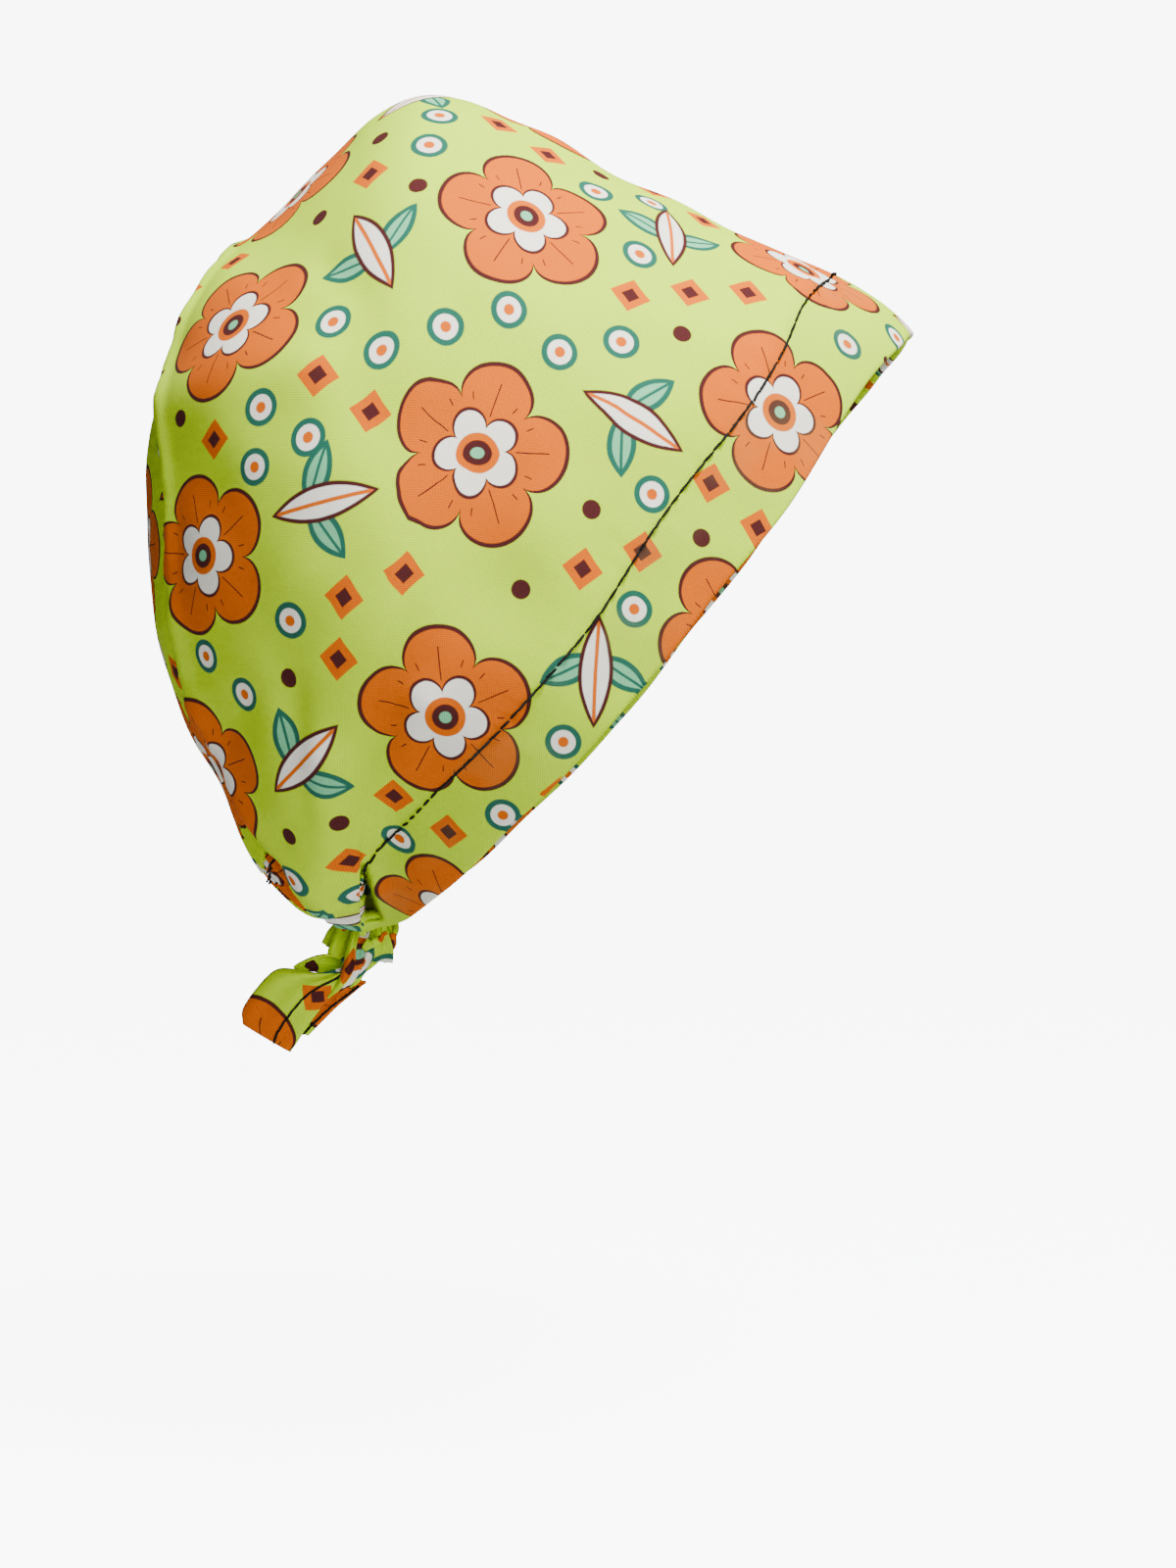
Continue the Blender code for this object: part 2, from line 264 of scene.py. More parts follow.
# %% Fold tables and relief
FOLDS = (
    # forward 1, up 1, forward 2, up 2 and half width as shares of crown_radius, then the height
    # as a share of fold_height, with hollows below 0
    (-0.42, -0.44, -0.43, -0.68, 0.055, 0.36),
    (-0.29, -0.42, -0.31, -0.62, 0.065, -0.32),
    (-0.20, -0.32, -0.33, -0.57, 0.045, 0.20),
    (-0.21, 0.22, -0.06, -0.09, 0.110, -0.28),
    (0.05, -0.01, 0.21, 0.15, 0.090, 0.14),
    (-0.72, 0.33, -0.43, 0.37, 0.080, 0.25),
    (-0.40, 0.57, -0.33, 0.51, 0.040, -0.15),
    (-0.46, -0.30, -0.43, -0.60, 0.030, -0.16),
    (-0.52, -0.26, -0.50, -0.52, 0.040, 0.12),
    (-0.62, 0.10, -0.50, -0.18, 0.060, -0.12),
    (-0.12, 0.60, 0.10, 0.35, 0.070, 0.10),
    (0.10, -0.22, 0.02, -0.40, 0.040, 0.08),
)
swell_height = 0.0011
swell_size = 0.045
crease_height = 0.0005
crease_size = 0.014


def soft_step(share):
    share = np.clip(share, 0, 1)
    return share**2 * (3 - 2 * share)


def soft_noise(points, size):
    """Soft noise from -1 to 1 with bumps of one size."""
    flat = points.reshape(-1, 3) / size
    values = [noise.noise(Vector(point)) for point in flat]
    return np.array(values).reshape(points.shape[:-1])


def unevenness(points):
    """The slight swell and the fine creases that all the panels have."""
    swell = swell_height * soft_noise(points, swell_size)
    return swell + crease_height * soft_noise(points, crease_size)


def fold_relief(points):
    """How far the folds lift a side panel at points of its form."""
    relief = np.zeros(points.shape[:-1])
    place = points[..., ::2] / crown_radius
    for forward_1, up_1, forward_2, up_2, half, height in FOLDS:
        start = np.array([forward_1, up_1])
        run = np.array([forward_2, up_2]) - start
        share = np.clip((place - start) @ run / (run @ run), 0, 1)
        off = np.linalg.norm(place - start - share[..., None] * run, axis=-1)
        relief += fold_height * height * np.exp(-((off / half) ** 2))
    return relief


# %% [markdown]
# ## The pleat at the nape
# Where the ties pull, the side panel folds forward over the hem's end in one steep pleat, and the
# hem's end rolls into a short tunnel beside it. A fold as sharp as this can't be a soft bump, so
# the points are moved forward as well as out, and the edge of the pleat hangs over the tunnel.

# %% The pleat and the tunnel
pleat_place = -0.0334
pleat_slant = -0.172
pleat_top = -0.050
pleat_bottom = -0.070
pleat_height = 0.0030
pleat_edge = 0.0006
pleat_width = 0.013
pleat_overlap = 0.0019
pleat_lead = 0.0045
pleat_back = 0.0024
exp_limit = 30
tunnel_top = -0.0640
tunnel_deepest = -0.0685
tunnel_widest = -0.0760
tunnel_floor = -0.0768
tunnel_lip = 0.0016
tunnel_depth = 0.0095
tunnel_lean = 0.0009
tunnel_width = 0.0064
tunnel_top_share = 0.25
tunnel_back_wall = 0.30
tunnel_front_wall = 0.35


def past_pleat(points):
    """How far ahead of the pleat's edge a place lies."""
    drop = np.maximum(pleat_top - points[..., 2], 0)
    return points[..., 0] - pleat_place - pleat_slant * drop


def tunnel(points):
    """How deep in the tunnel a place lies, from 0 to 1."""
    down = (tunnel_top - points[..., 2]) / (tunnel_top - tunnel_widest)
    wide = tunnel_width * (tunnel_top_share + (1 - tunnel_top_share) * np.clip(down, 0, 1))
    share = np.clip((past_pleat(points) - pleat_back / 2) / wide, 0, 1)
    deep = soft_step((tunnel_top - points[..., 2]) / (tunnel_top - tunnel_deepest))
    deep = deep * soft_step((points[..., 2] - tunnel_floor) / tunnel_lip)
    return deep * soft_step(share / tunnel_back_wall) * soft_step((1 - share) / tunnel_front_wall)


def nape_pleat(points):
    """How far the pleat folds forward and out to the side, with the tunnel going in."""
    z = points[..., 2]
    ahead = past_pleat(points)
    grow = soft_step((pleat_top - z) / (pleat_top - pleat_bottom))
    from_edge = np.clip((ahead - pleat_back / 2) / pleat_edge, -exp_limit, exp_limit)
    steep = 1 / (1 + np.exp(from_edge))
    soft = np.exp(-((np.maximum(-ahead, 0) / pleat_width) ** 2))
    out = pleat_height * grow * steep * soft - tunnel_depth * tunnel(points)
    over = soft_step(1 + ahead / pleat_lead) * soft_step(1 - ahead / pleat_back)
    forward = pleat_overlap * grow * over - tunnel_lean * tunnel(points)
    return np.stack([forward, np.sign(points[..., 1]) * out, 0 * z], axis=-1)


# %% [markdown]
# ## The front panel and its hem
# The hem isn't a strip on top: the same cloth turns round the fold and goes up inside. So the
# grid's rows start inside, come down to the fold, turn round it, and go up the outside to the
# back seam, where the last rows curl under, as a seam allowance does.

# %% Rows of the front panel
FRONT_COLUMNS = 300
inner_rows = 8
turn_rows = 6
hem_rows = 28
body_rows = 90
edge_rows = 6
edge_turn = 115.0
nape_crowding = 0.22
seam_pucker_height = 0.0008
seam_pucker_count = 62
seam_pucker_size = 4 * seam_roll_width
seam_pucker_reach = 2.5 * seam_roll_width
stitch_pucker_height = 0.00022
stitch_pucker_count = 140
stitch_pucker_reach = hem_depth / 3
STAGES = np.array((
    # rows since the last stage, share of the hem, share of the body, turn of the hem and the edge
    (0, 1, 0, 180, 0),
    (inner_rows, 0, 0, 180, 0),
    (turn_rows, 0, 0, 0, 0),
    (hem_rows, 1, 0, 0, 0),
    (body_rows, 1, 1, 0, 0),
    (edge_rows, 1, 1, 0, edge_turn),
), float)
STAGE_ENDS = np.cumsum(STAGES[:, 0])
FRONT_ROWS = int(STAGE_ENDS[-1])
ROWS = np.array([np.interp(range(FRONT_ROWS + 1), STAGE_ENDS, stage) for stage in STAGES.T[1:]])
print("front panel grid:", FRONT_COLUMNS, "x", FRONT_ROWS)


def spread(around):
    """Sets the columns closer together towards the two ends at the nape."""
    side = 2 * around - 1
    return 0.5 + 0.5 * (nape_crowding * side + (1 - nape_crowding) * np.sin(side * np.pi / 2))


def front_place(around, row):
    """Where a point of the grid lies on the panel, and the hem's depth there as a share."""
    around = spread(around)
    hem_share, body_share = ROWS[:2, np.rint(row * FRONT_ROWS).astype(int)]
    hem = np.minimum(hem_depth / np.interp(around, *PANEL_LENGTHS), MOST_HEM)
    return around, hem * hem_share + (1 - hem) * body_share, hem


def front_surface(around, row):
    around, up, hem = front_place(around, row)
    bend, edge = ROWS[2:, np.rint(row * FRONT_ROWS).astype(int)]
    length = np.interp(around, *PANEL_LENGTHS)
    form = front_form(around, up)
    normal, rise = directions(front_form, around, up)
    from_seam = (1 - up) * length
    from_stitch = (up - hem) * length
    roll = seam_roll_height * np.exp(-((from_seam / seam_roll_width - 1) ** 2))
    pucker = [around * seam_pucker_count, from_seam / seam_pucker_size, 0 * up]
    pucker = seam_pucker_height * soft_noise(np.stack(pucker, axis=-1), 1)
    pucker = pucker * np.exp(-((from_seam / seam_pucker_reach) ** 2))
    ripple = stitch_pucker_height * np.sin(around * stitch_pucker_count * 2 * np.pi)
    ripple = ripple * np.exp(-((from_stitch / stitch_pucker_reach) ** 2)) * (bend < 1)
    lift = fold_relief(form) + roll + pucker + ripple + unevenness(form)
    bend, edge = np.radians(bend), np.radians(edge)
    lift -= hem_fold_radius * (1 - np.cos(bend)) + seam_edge_radius * (1 - np.cos(edge))
    ahead = seam_edge_radius * np.sin(edge) - hem_fold_radius * np.sin(bend)
    return form + normal * lift[..., None] + rise * ahead[..., None] + nape_pleat(form)


# %% [markdown]
# ## Cloth maps
# The print has to lie flat on the cloth, with every flower at full size. A projection from the
# side would smear over the forehead. Unwrapping is the right tool, because it flattens the panel
# as the cutter's table did. A coarse copy is unwrapped for speed, its map is read at even places,
# and the fine panel reads its own places from that. Maps are in metres, so a weave of 0.4 mm is
# written as 0.4 mm.

# %% Grids of cloth
def cloth_grid(name, surface, columns, rows):
    """A flat grid moved onto a surface."""
    bpy.ops.mesh.primitive_grid_add(x_subdivisions=columns, y_subdivisions=rows, size=1)
    item = bpy.context.object
    item.name = name
    item.data.name = name
    flat = np.empty(len(item.data.vertices) * 3)
    item.data.vertices.foreach_get("co", flat)
    flat = (flat.reshape(-1, 3)[:, :2] + 0.5).reshape(rows + 1, columns + 1, 2)
    points = surface(flat[..., 0], flat[..., 1])
    item.data.vertices.foreach_set("co", points.reshape(-1))
    item.data.update()
    return item


def cloth_map(name, surface, columns, rows):
    """A panel flattened, in metres, as one place for each point of a coarse grid."""
    item = cloth_grid(name, surface, columns, rows)
    bpy.ops.object.mode_set(mode="EDIT")
    bpy.ops.mesh.select_all(action="SELECT")
    bpy.ops.uv.unwrap(method="MINIMUM_STRETCH", margin=0)
    bpy.ops.object.mode_set(mode="OBJECT")
    mesh = item.data
    places = np.zeros((len(mesh.vertices), 2))
    for loop in mesh.loops:
        places[loop.vertex_index] = mesh.uv_layers.active.data[loop.index].uv
    places = places.reshape(rows + 1, columns + 1, 2)
    across = np.linalg.norm(np.diff(places, axis=1), axis=-1).sum()
    real = np.empty(len(mesh.vertices) * 3)
    mesh.vertices.foreach_get("co", real)
    real = np.linalg.norm(np.diff(real.reshape(rows + 1, columns + 1, 3), axis=1), axis=-1).sum()
    bpy.data.objects.remove(item)
    return places * real / across


def read_map(places, across, up):
    """The flattened place of any point, between the coarse grid's points."""
    rows, columns = places.shape[0] - 1, places.shape[1] - 1
    x = np.clip(across * columns, 0, columns - 1e-6)
    y = np.clip(up * rows, 0, rows - 1e-6)
    i, j = x.astype(int), y.astype(int)
    s, t = (x - i)[..., None], (y - j)[..., None]
    low = places[j, i] * (1 - s) + places[j, i + 1] * s
    high = places[j + 1, i] * (1 - s) + places[j + 1, i + 1] * s
    return low * (1 - t) + high * t


def give_map(item, places):
    """Writes a flattened place for each point into the piece's own UV map."""
    mesh = item.data
    layer = mesh.uv_layers.active or mesh.uv_layers.new(name="cloth")
    layer.name = "cloth"
    corners = np.empty(len(mesh.loops), int)
    mesh.loops.foreach_get("vertex_index", corners)
    layer.data.foreach_set("uv", places.reshape(-1, 2)[corners].reshape(-1))


def give_mask(item, name, values):
    """Writes a number for each point, for the material to read by its name."""
    mask = item.data.attributes.new(name, "FLOAT", "POINT")
    mask.data.foreach_set("value", values.reshape(-1).astype(float))


def add_wall(item, wall):
    """Gives a sheet its thickness, grown inwards, and smooth shading."""
    solid = item.modifiers.new("wall", "SOLIDIFY")
    solid.thickness = wall
    solid.offset = -1
    bpy.context.view_layer.objects.active = item
    bpy.ops.object.modifier_apply(modifier=solid.name)
    bpy.ops.object.shade_smooth()


def cloth_area(item):
    return sum(face.area for face in item.data.polygons) / 2


# %% The front panel
front_map = cloth_map("front_pattern", front_form, 80, 24)
print("front panel flat: %.0f x %.0f mm" % tuple(1000 * np.ptp(front_map.reshape(-1, 2), axis=0)))


def even_grid(columns, rows):
    return np.meshgrid(np.linspace(0, 1, columns + 1), np.linspace(0, 1, rows + 1))


front_panel = cloth_grid("front_panel_cloth", front_surface, FRONT_COLUMNS, FRONT_ROWS)
around, up, hem = front_place(*even_grid(FRONT_COLUMNS, FRONT_ROWS))
give_map(front_panel, read_map(front_map, around, up))
row_of_point = np.repeat(np.arange(FRONT_ROWS + 1), FRONT_COLUMNS + 1)
give_mask(front_panel, "hem_band", ROWS[1, row_of_point] == 0)
# The tunnel's depth is also kept as a mask, so that the material can paint shade deep in the
# tunnel.
give_mask(front_panel, "painted_tunnel_shade", 1 - (1 - tunnel(front_form(around, up))) ** 2)
add_wall(front_panel, panel_wall)
print("front panel cloth: %.3f square metres" % cloth_area(front_panel))

# %% [markdown]
# ## The back panel and the casing
# The back panel's edge lies under the side panels' rolled edge, and it is drawn up in small
# gathers where the casing's stitching holds it. The casing goes on below it with deeper gathers,
# because the elastic inside pulls it short.

# %% Back panel and casing
SEAM_PLACES = np.linspace(1, 0, 401)
SEAM_ANGLES = smooth(SEAM, SEAM_PLACES, 1)
CASING_SHARE = np.interp(CASING_ANGLE, SEAM_ANGLES, SEAM_PLACES)
SEAM_TURN = max(row[2] for row in SEAM)
back_drop = 0.0026
valley_start = 1.5 * seam_lap
casing_gap = 0.0006
gather_margin = 0.14
back_gather_share = 0.6
back_gather_fade = 7
casing_gather_edge = 0.6
casing_gather_middle = 0.5
casing_gather_slant = 1.2
GATHER_WANDER = ((0.9, 2.3, 1.0), (0.5, 5.1, 0.0))
GATHER_WAVES = ((0.7, 1.0, 0.0), (0.3, 1.7, 0.8))


def back_seam(side):
    def edge(up):
        share = CASING_SHARE + up * (ARCH_CORNER - CASING_SHARE)
        return np.stack([smooth(SEAM, share, 1), side * smooth(SEAM, share, 2)], axis=-1)

    return edge


def back_arch(across):
    share = ARCH_CORNER + (1 - ARCH_CORNER) * (1 - np.abs(2 * across - 1))
    turn = smooth(SEAM, share, 2) * np.sign(across - 0.5)
    return np.stack([smooth(SEAM, share, 1), turn], axis=-1)


def casing_line(across):
    turn = smooth(SEAM, CASING_SHARE, 2) * (2 * across - 1)
    return np.stack([np.full_like(across, CASING_ANGLE), turn], axis=-1)


def lapped(place):
    """Places spread out past the seam, and not past the casing's stitching."""
    angle, turn = place[..., 0], place[..., 1]
    lap = np.degrees(seam_lap / half_width)
    rise = np.clip((CASING_ANGLE - angle) / (CASING_ANGLE - SEAM[-1][1]), 0, 1)
    return angle - lap * rise**2, turn * (1 + lap / SEAM_TURN)


def back_form(across, up):
    place = patch(across, up, casing_line, back_arch, back_seam(-1), back_seam(1))
    return dome(*lapped(place))


def valley(across, up):
    """How deep the back lies: under the side panels' edges, and level past the valley."""
    from_side = np.minimum(across, 1 - across) * 2 * half_width * np.sin(np.radians(SEAM_TURN))
    from_top = (1 - up) * crown_radius * np.radians(CASING_ANGLE - SEAM[-1][1])
    share = (np.minimum(from_side, from_top) - valley_start) / seam_valley
    return seam_step + (back_drop - seam_step) * (1 - soft_step(share))


def waves(table, phase):
    """Sines added up, each with its height, its count and its start."""
    return sum(height * np.sin(phase * count + start) for height, count, start in table)


def gathers(across, depth):
    """Pleats drawn together by the elastic, uneven as real ones are."""
    turn = 2 * np.pi * across
    phase = turn * gather_count + waves(GATHER_WANDER, turn) + depth
    level = soft_step(np.minimum(across, 1 - across) / gather_margin)
    return level * waves(GATHER_WAVES, phase) - 1


def back_surface(across, up):
    form = back_form(across, up)
    gather = back_gather_share * gathers(across, 0) * (1 - up) ** back_gather_fade
    lift = gather_height * gather - valley(across, up) + unevenness(form)
    return form + directions(back_form, across, up)[0] * lift[..., None]


def casing_form(across, up):
    gap = np.degrees(casing_gap / crown_radius)
    angle = CASING_END_ANGLE + up * (CASING_ANGLE + gap - CASING_END_ANGLE)
    turn = smooth(SEAM, np.interp(angle, SEAM_ANGLES, SEAM_PLACES), 2)
    turn = turn * (CASING_END_WIDTH + up * (1 - CASING_END_WIDTH))
    return dome(*lapped(np.stack([angle, turn * (2 * across - 1)], axis=-1)))


def casing_surface(across, up):
    gather = gathers(across, casing_gather_slant * (1 - up))
    gather = gather * (casing_gather_edge + casing_gather_middle * np.sin(np.pi * up))
    lift = gather_height * gather - valley(across, 0 * up)
    return casing_form(across, up) + directions(casing_form, across, up)[0] * lift[..., None]


def panel_of_cloth(name, surface, form, columns, rows, coarse, wall):
    """A panel with its flattened map and its wall."""
    places = cloth_map(name + "_pattern", form, *coarse)
    item = cloth_grid(name, surface, columns, rows)
    give_map(item, read_map(places, *even_grid(columns, rows)))
    add_wall(item, wall)
    print(name, "flat: %.0f x %.0f mm" % tuple(1000 * np.ptp(places.reshape(-1, 2), axis=0)))
    print(name, "cloth: %.4f square metres" % cloth_area(item))
    return item


# columns and rows of the cloth, then of the coarse copy that is unwrapped
BACK_GRID = (140, 120, (24, 24))
CASING_GRID = (260, 36, (40, 6))
back_panel = panel_of_cloth(
    "back_panel_cloth", back_surface, back_form, *BACK_GRID, panel_wall)
nape_casing = panel_of_cloth(
    "nape_casing_cloth", casing_surface, casing_form, *CASING_GRID, panel_wall)

# %% [markdown]
# ## Ties and knot
# A tie is a strip folded lengthwise and stitched shut, so it is thicker than the panels and creases
# along its length. A simulated strip would hang as it liked, so each strip is a short table of
# places from the knot's middle, read as a smooth curve, as the photo shows it.

# %% Ties
tie_width = 0.0155
tie_wall = 0.0009
knot_radius = 0.0060
KNOT_STRETCH = (0.77, 1.00, 1.07)
knot_middle = np.array([-0.0365, -0.0025, -0.0843])
tie_creases = 2.5
tie_crease_height = 0.00035
tie_crease_twist = 1.5
tie_crease_fade = 0.7
tie_edge_lift = 1.2
tie_edge_sharpness = 8
TIES = {
    "tie_right": (
        # forward, side, up, across forward, across side, across up and bow, from the knot's
        # middle, in hundredths of tie_width
        (22, -62, 22, 16, 2, 8, 4),
        (15, -50, 16, 15, 2, 9, 6),
        (8, -38, 10, 12, 2, 10, 4),
    ),
    "tie_left": (
        (30, 82, 32, -6, 0, -22, 3),
        (34, 52, 10, -7, 0, -26, 4),
        (31, 22, 0, -6, 4, -22, 4),
    ),
    "knot_loop": (
        (-30, 6, 37, 9, 0, -7, 3),
        (-43, 6, 20, 11, 3, -9, 5),
        (-55, 3, 3, 9, 4, -7, 5),
    ),
    "tail_right": (
        (-20, -26, -29, 12, 0, -4, 2),
        (-46, -40, -37, 18, 4, -7, 6),
        (-72, -47, -43, 26, 5, -19, 10),
        (-93, -49, -54, 32, 5, -28, 9),
        (-115, -49, -79, 36, 3, -28, 6),
        (-133, -46, -106, 39, 0, -24, 3),
        (-138, -45, -124, 34, 0, -20, 2),
    ),
    "tail_left": (
        (-11, -7, -41, 13, 0, -6, 2),
        (-38, -14, -55, 18, 2, -10, 6),
        (-71, -20, -69, 30, 2, -14, 6),
        (-95, -22, -87, 34, 0, -16, 3),
        (-115, -22, -105, 34, 0, -18, 2),
    ),
}


def tie_surface(rows):
    """A folded tie, bowed across, turning along its length, creased where it enters the knot."""
    table = [(index / (len(rows) - 1), *row) for index, row in enumerate(rows)]

    def surface(along, across):
        columns = [smooth(table, along, column) * tie_width / 100 for column in range(1, 8)]
        middle = np.stack(columns[0:3], axis=-1)
        reach = np.stack(columns[3:6], axis=-1)
        normal = unit(np.cross(np.gradient(middle, axis=1), reach))
        side = 2 * across - 1
        crease = np.sin(side * tie_creases * np.pi + tie_crease_twist * along)
        crease = crease * (1 - along) ** tie_crease_fade
        edge = tie_edge_lift * (1 - np.abs(side) ** tie_edge_sharpness)
        lift = columns[6] * (1 - side**2) + tie_crease_height * (crease + edge)
        return knot_middle + middle + side[..., None] * reach + lift[..., None] * normal

    return surface


def strip_map(item, columns, rows):
    """A strip's map, straight along it, from its own measured steps."""
    points = np.empty(len(item.data.vertices) * 3)
    item.data.vertices.foreach_get("co", points)
    points = points.reshape(rows + 1, columns + 1, 3)
    along = np.linalg.norm(np.diff(points, axis=1), axis=-1).mean(axis=0)
    across = np.linalg.norm(np.diff(points, axis=0), axis=-1).mean(axis=1)
    along = np.concatenate([[0], np.cumsum(along)])
    across = np.concatenate([[0], np.cumsum(across)])
    x, y = np.meshgrid(along, across)
    return np.stack([x, y], axis=-1), along[-1], across[-1]


STRIP_COLUMNS = 70
STRIP_ROWS = 28
PRINT_SHIFT = {
    "tie_right": (0.112, -0.016),
    "tie_left": (0.052, 0.008),
    "knot_loop": (0.054, 0.059),
    "tail_right": (0.224, 0.019),
    "tail_left": (0.140, 0.105),
}


def strip_of_cloth(name, surface, columns, rows, shift, wall):
    """A strip with its map, laid at its own place of the print."""
    item = cloth_grid(name, surface, columns, rows)
    places, long, wide = strip_map(item, columns, rows)
    give_map(item, places + np.array(shift))
    add_wall(item, wall)
    print("%s: %.1f x %.1f mm" % (name, 1000 * long, 1000 * wide))
    return item


strips = {}
for name, rows in TIES.items():
    strips[name] = strip_of_cloth(
        name + "_cloth", tie_surface(rows), STRIP_COLUMNS, STRIP_ROWS, PRINT_SHIFT[name], tie_wall)

# %% [markdown]
# ## The knot
# From the side the knot isn't a ball: it is a bundle of creased strands that twist past each
# other. So it is built as the ties are, from strips read off short tables. A small ball of cloth
# inside keeps light from showing between them.

# %% Strands of the knot
STRANDS = {
    # forward, side, up, across forward, across side, across up and bow, as in TIES
    "outer_strand": (
        (-6, -24, 44, 7, 2, 1, 4),
        (-11, -34, 24, 8, 3, 2, 6),
        (-16, -41, 2, 9, 4, 3, 7),
        (-19, -44, -20, 10, 5, 5, 8),
        (-28, -44, -40, 11, 3, 7, 7),
        (-42, -44, -58, 11, 2, 8, 4),
    ),
    "bright_strand": (
        (6, -20, 44, 6, -3, 0, 4),
        (1, -30, 22, 8, -5, 1, 7),
        (-5, -38, 0, 9, -6, 2, 8),
        (-9, -40, -24, 9, -5, 4, 8),
        (-20, -40, -46, 9, -3, 6, 6),
        (-32, -40, -64, 8, -2, 7, 3),
    ),
    "stitched_strand": (
        (15, -14, 46, 6, 4, 1, 3),
        (12, -24, 20, 8, 6, 2, 5),
        (7, -32, -4, 9, 6, 3, 6),
        (-2, -35, -26, 8, 5, 5, 5),
        (-12, -35, -44, 6, 3, 6, 3),
    ),
    "flat_strand": (
        (19, -5, 44, 6, 2, 1, 2),
        (24, -12, 18, 11, 3, 1, 3),
        (25, -16, -2, 16, 4, 0, 3),
        (21, -18, -17, 19, 4, -2, 2),
    ),
    "hidden_strand": (
        (-22, -2, 44, 14, 2, -3, 5),
        (-28, -8, 24, 16, 2, -4, 7),
        (-36, -14, 4, 15, 2, -5, 7),
        (-42, -18, -12, 12, 2, -6, 4),
    ),
    "curl": (
        (-24, -16, -26, 3, -4, 12, 12),
        (-44, -20, -21, 2, -6, 14, 20),
        (-64, -26, -20, 0, -6, 12, 18),
        (-84, -34, -22, -1, -4, 7, 10),
        (-98, -40, -25, -2, -2, 3, 3),
    ),
    "far_strand": (
        (20, 20, 44, 10, 0, 0, -5),
        (22, 30, 16, 14, 0, 3, -8),
        (10, 30, -14, 16, 0, 8, -8),
        (-14, 16, -38, 12, 0, 12, -5),
    ),
}
STRAND_SHIFT = {
    "outer_strand": (0.052, 0.009),
    "bright_strand": (0.020, 0.021),
    "stitched_strand": (0.168, 0.011),
    "flat_strand": (-0.006, 0.036),
    "hidden_strand": (0.110, -0.014),
    "curl": (0.284, 0.010),
    "far_strand": (0.052, 0.060),
}
core_columns = 40
core_rows = 24
core_share = 0.62
core_bump = 0.05
pole_gap = 0.98
strand_wall = tie_wall / 2


def knot_core(around, up):
    """The cloth ball inside the strands."""
    turn = 2 * np.pi * around
    lean = np.pi * (up - 0.5) * pole_gap
    reach = knot_radius * (core_share + core_bump * np.sin(3 * turn + 2 * lean))
    ball = [np.cos(turn) * np.cos(lean), np.sin(turn) * np.cos(lean), np.sin(lean)]
    return knot_middle + np.stack(ball, axis=-1) * np.array(KNOT_STRETCH) * reach[..., None]


knot_parts = []
for name, rows in STRANDS.items():
    knot_parts.append(strip_of_cloth(
        name, tie_surface(rows), STRIP_COLUMNS, STRIP_ROWS, STRAND_SHIFT[name], strand_wall))
knot_parts.append(strip_of_cloth(
    "knot_core", knot_core, core_columns, core_rows, (0, 0), strand_wall))
bpy.ops.object.select_all(action="DESELECT")
for part in knot_parts:
    part.select_set(True)
bpy.context.view_layer.objects.active = knot_parts[0]
bpy.ops.object.join()
knot = bpy.context.object
knot.name = "tie_knot_cloth"

# %% [markdown]
# ## Printed cotton
# The cloth is a plain weave with a print on top. The print could be painted, but then it would
# blur up close. Here it is drawn by formulas in the material: flowers, leaf sprigs and small
# rings, each on its own lattice of the cloth's map, so every edge stays sharp. A few helpers keep
# the formulas readable. They add to the node tree of the material that was started last.

# %% Helpers for material nodes
ink_edge = 0.00012


def start_material(name):
    global tree
    material = bpy.data.materials.new(name)
    material.use_nodes = True
    tree = material.node_tree
    return material, tree.nodes["Principled BSDF"]


def feed(node, values):
    """Feeds a node's sockets, by name or number, with other sockets or plain values."""
    for place, value in values.items():
        if isinstance(value, bpy.types.NodeSocket):
            tree.links.new(value, node.inputs[place])
        else:
            node.inputs[place].default_value = value


def add(kind, *values, at=(), **settings):
    """A new node of one kind, fed in order and by name, with its settings. Gives its outputs."""
    node = tree.nodes.new("ShaderNode" + kind)
    for name, value in settings.items():
        setattr(node, name, value)
    feed(node, {**dict(enumerate(values)), **dict(at)})
    return node.outputs


def calc(operation, *values):
    return add("Math", *values, operation=operation)[0]


def times(first, second):
    return calc("MULTIPLY", first, second)


def vector_calc(operation, *values):
    outputs = add("VectorMath", *values, operation=operation)
    return outputs["Value" if operation == "LENGTH" else "Vector"]


def split(vector):
    return add("SeparateXYZ", vector)[:2]


def join(x, y, z=0.0):
    return add("CombineXYZ", x, y, z)[0]


def turned(vector, angle):
    return add("VectorRotate", at={"Vector": vector, "Angle": angle}, rotation_type="Z_AXIS")[0]


def mixed(share, first, second, blend="MIX"):
    """Two colours mixed. A Mix node has its colour sockets at 6 and 7, and gives one at 2."""
    first, second = [(*part, 1) if isinstance(part, tuple) else part for part in (first, second)]
    return add("Mix", at={0: share, 6: first, 7: second}, data_type="RGBA", blend_type=blend)[2]


def below(value, edge, soft=ink_edge):
    """1 where the value is below the edge and 0 above it, with a soft step between."""
    return add("MapRange", value, edge - soft, edge + soft, 1, 0)[0]


def noise_value(vector, scale, detail=2.0):
    return add("TexNoise", at={"Vector": vector, "Scale": scale, "Detail": detail})[0]


def mask_value(name):
    """The number that give_mask wrote for each point."""
    return add("Attribute", attribute_name=name)["Fac"]


# %% Lattices of the print
def lattice(vector, width, height, shift=(0.0, 0.0)):
    """Half-drop repeat: the place inside a cell from its middle, and the cell's own number."""
    x, y = split(vector_calc("ADD", vector, (*shift, 0)))
    column = calc("FLOOR", calc("DIVIDE", x, width))
    y = calc("ADD", y, times(calc("FLOORED_MODULO", column, 2.0), height / 2))
    row = calc("FLOOR", calc("DIVIDE", y, height))
    local_x = calc("SUBTRACT", x, times(calc("ADD", column, 0.5), width))
    local_y = calc("SUBTRACT", y, times(calc("ADD", row, 0.5), height))
    return join(local_x, local_y), join(column, row)


